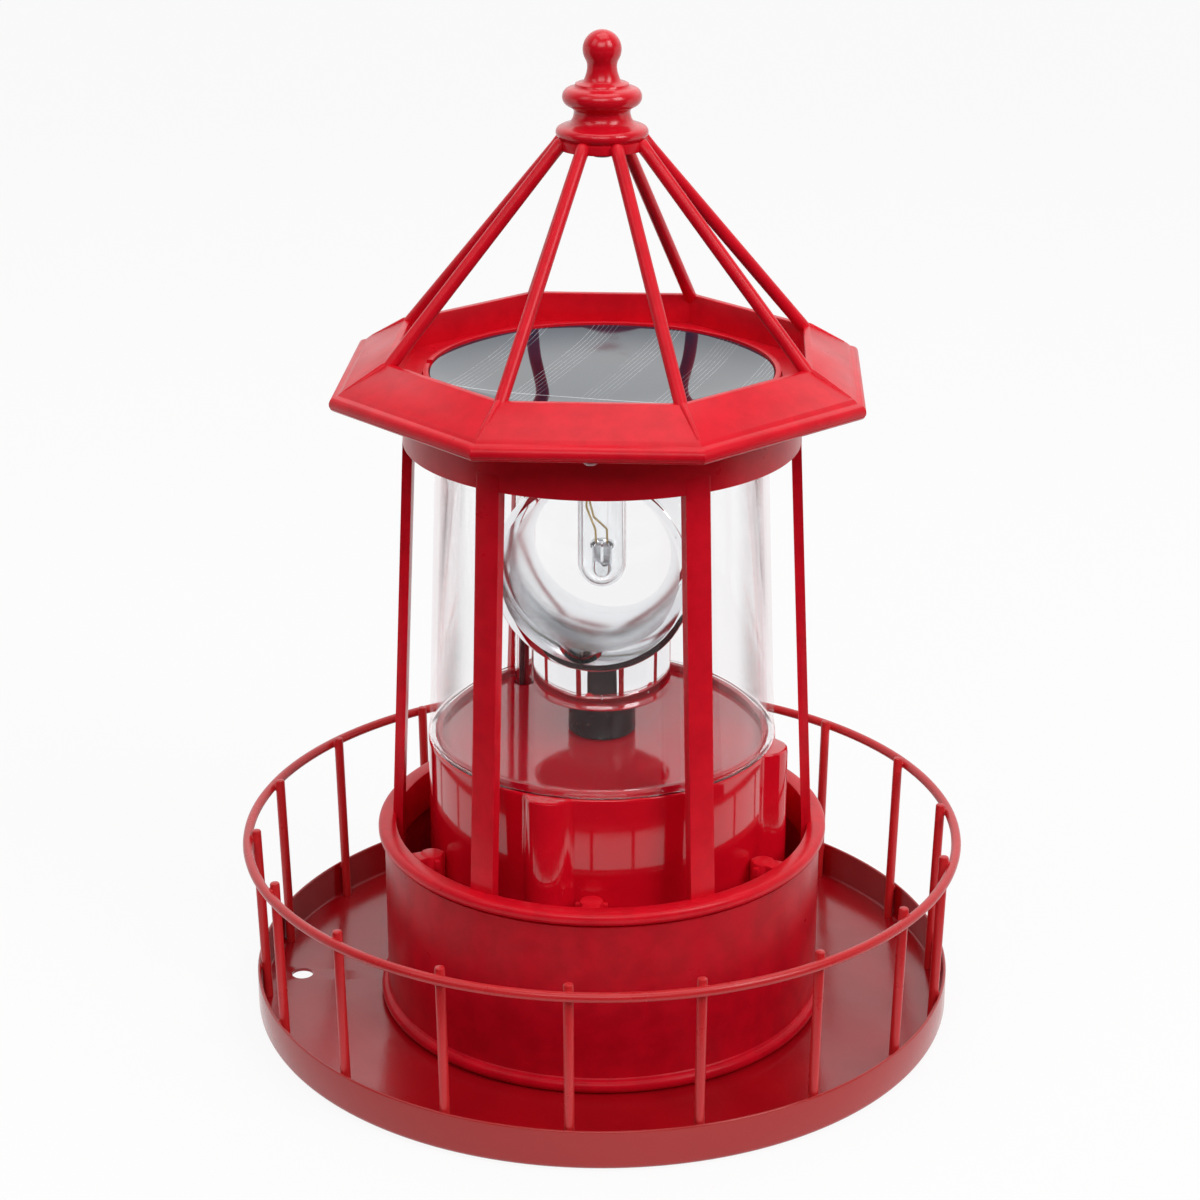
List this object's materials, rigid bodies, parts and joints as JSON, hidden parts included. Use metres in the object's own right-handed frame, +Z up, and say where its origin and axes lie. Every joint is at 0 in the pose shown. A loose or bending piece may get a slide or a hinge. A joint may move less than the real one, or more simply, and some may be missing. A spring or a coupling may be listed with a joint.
{
  "type": "solar beacon light",
  "caption": "Red garden beacon light with a railed deck tray, ribbed octagonal roof with a solar panel, clear lens tube and a motor-turned double-horn reflector round a hanging lamp.",
  "frame": {"origin": "centre of the underside of the deck tray, on the ground", "axes": "+Z up along the beacon's axis, -Y towards the viewer's side of the picture"},
  "size_m": [0.1794, 0.1794, 0.2439],
  "materials": {
    "deck_paint": "brick-red paint, satin",
    "rail_paint": "brick-red paint, satin",
    "red_shell": "vivid red moulded plastic, satin gloss",
    "gloss_red": "red moulded plastic, high gloss",
    "screw_steel": "plain zinc-plated steel",
    "cell_face": "dark cell with fine lines under clear resin",
    "clear_lens": "clear moulded plastic, smooth",
    "black_rubber": "matt",
    "cell_sleeve": "printed sleeve, plain green",
    "contact_plate": "nickel-plated",
    "board_green": "solder mask",
    "switch_case": "satin",
    "black_plastic": "satin gloss",
    "motor_can": "drawn steel",
    "brass": "plain",
    "pale_plastic": "natural",
    "reflector_chrome": "bright metallised mirror",
    "lamp_glass": "clear glass",
    "led_resin": "water-clear resin",
    "wire_sleeve": "dark wire sleeves"
  },
  "bodies": {
    "housing": {"deck_tray": "deck_paint", "rail_ring": "rail_paint", "balusters": "rail_paint", "base_drum": "red_shell", "lantern_cage": "red_shell", "roof_frame": "red_shell", "finial": "red_shell", "finial_screw": "screw_steel", "cage_screws": "screw_steel", "roof_screws": "screw_steel", "beacon_screws": "screw_steel", "panel_housing": "red_shell", "solar_cell": "cell_face", "lens_tube": "clear_lens", "lens_gaskets": "black_rubber", "beacon_base": "gloss_red", "bottom_cover": "gloss_red", "bottom_cover_screws": "screw_steel", "battery_cover": "gloss_red", "battery_cover_screws": "screw_steel", "battery_seal": "black_rubber", "battery": "cell_sleeve", "battery_contacts": "contact_plate", "control_board": "board_green", "board_screws": "screw_steel", "switch_body": "switch_case", "gear_motor": "motor_can", "motor_plate": "motor_can", "motor_screws": "screw_steel", "shaft_bush": "brass", "lamp_holder": "black_plastic", "lamp_tube": "lamp_glass", "led": "led_resin", "led_leads": "brass", "wire_conduit": "clear_lens", "power_wires": "wire_sleeve"},
    "spinner": {"reflector": "reflector_chrome", "drive_hub": "black_plastic", "drive_shaft": "screw_steel", "drive_gear": "pale_plastic"},
    "pinion": {"motor_pinion": "brass"},
    "switch": {"switch_knob": "black_plastic"}
  },
  "joints": [
    {"name": "reflector_spin", "type": "hinge", "parent": "housing", "child": "spinner", "pos_m": [0, 0, 0.1175], "axis": [0, 0, 1], "continuous": true},
    {"name": "pinion_spin", "type": "hinge", "parent": "housing", "child": "pinion", "pos_m": [0.018, 0, 0.06], "axis": [0, 0, 1], "continuous": true},
    {"name": "switch_slide", "type": "slide", "parent": "housing", "child": "switch", "axis": [1, 0, 0], "range_m": [0, 0.0025]}
  ],
  "couplings": [
    {"joint": "pinion_spin", "follows": "reflector_spin", "ratio": -4}
  ]
}
